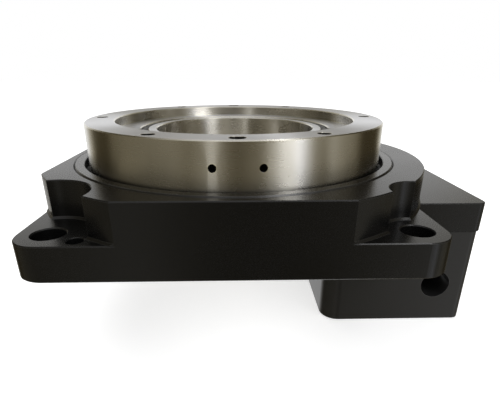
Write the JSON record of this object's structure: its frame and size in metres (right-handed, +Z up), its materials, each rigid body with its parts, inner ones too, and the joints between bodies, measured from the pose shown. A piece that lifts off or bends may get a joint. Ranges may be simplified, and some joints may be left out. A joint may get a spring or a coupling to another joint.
{
  "type": "hollow rotary table",
  "caption": "Hollow rotary table: a steel table on a crossed-roller bearing in a square black housing, turned by a motor through a helical pinion at its side.",
  "frame": {"origin": "on the table's axis, in the plane of the housing's base face, at the middle of the four mounting holes", "axes": "+Z up out of the table along its axis, +X towards the motor block, +Y completes the set"},
  "size_m": [0.1583, 0.13, 0.078],
  "materials": {
    "black_housing": "black anodised, fine matt machined",
    "steel_table": "turned and ground",
    "steel_part": "machined",
    "bearing_steel": "ground and polished",
    "black_screw": "black oxide",
    "seal": "moulded",
    "cage": "pressed sheet",
    "nylon_cage": "moulded"
  },
  "bodies": {
    "housing": {"housing": "black_housing", "retainer_ring": "steel_part", "table_seal": "seal", "centre_sleeve": "steel_table", "sleeve_screws": "black_screw", "bearing_inner_ring": "bearing_steel", "bearing_clamp_ring": "steel_part", "clamp_ring_screws": "black_screw", "motor_block": "black_housing", "motor_block_screws": "black_screw", "motor_block_pins": "bearing_steel", "upper_bearing_outer_ring": "bearing_steel", "lower_bearing_outer_ring": "bearing_steel"},
    "table": {"rotary_table": "steel_table", "inner_seal": "seal", "ring_gear": "steel_part", "ring_gear_screws": "black_screw", "bearing_outer_ring": "bearing_steel"},
    "pinion": {"pinion_shaft": "steel_part", "shaft_circlip": "black_screw", "clamp_collar": "steel_part", "clamp_screw": "black_screw", "upper_bearing_inner_ring": "bearing_steel", "lower_bearing_inner_ring": "bearing_steel"},
    "rollers": {"crossed_rollers": "bearing_steel", "roller_cage": "cage"},
    "upper_balls": {"upper_bearing_balls": "bearing_steel", "upper_bearing_cage": "nylon_cage"},
    "lower_balls": {"lower_bearing_balls": "bearing_steel", "lower_bearing_cage": "nylon_cage"}
  },
  "joints": [
    {"name": "table_turn", "type": "hinge", "parent": "housing", "child": "table", "pos_m": [0, 0, 0.0135], "axis": [0, 0, 1], "continuous": true},
    {"name": "pinion_turn", "type": "hinge", "parent": "housing", "child": "pinion", "pos_m": [0.06401, 0, -0.008], "axis": [0, 0, 1], "continuous": true},
    {"name": "rollers_turn", "type": "hinge", "parent": "housing", "child": "rollers", "pos_m": [0, 0, 0.0135], "axis": [0, 0, 1], "continuous": true},
    {"name": "upper_balls_turn", "type": "hinge", "parent": "housing", "child": "upper_balls", "pos_m": [0.06401, 0, -0.0048], "axis": [0, 0, 1], "continuous": true},
    {"name": "lower_balls_turn", "type": "hinge", "parent": "housing", "child": "lower_balls", "pos_m": [0.06401, 0, -0.0118], "axis": [0, 0, 1], "continuous": true}
  ],
  "couplings": [
    {"joint": "pinion_turn", "follows": "table_turn", "ratio": -10},
    {"joint": "rollers_turn", "follows": "table_turn", "ratio": 0.52},
    {"joint": "upper_balls_turn", "follows": "table_turn", "ratio": -4.1489},
    {"joint": "lower_balls_turn", "follows": "table_turn", "ratio": -4.1489}
  ]
}
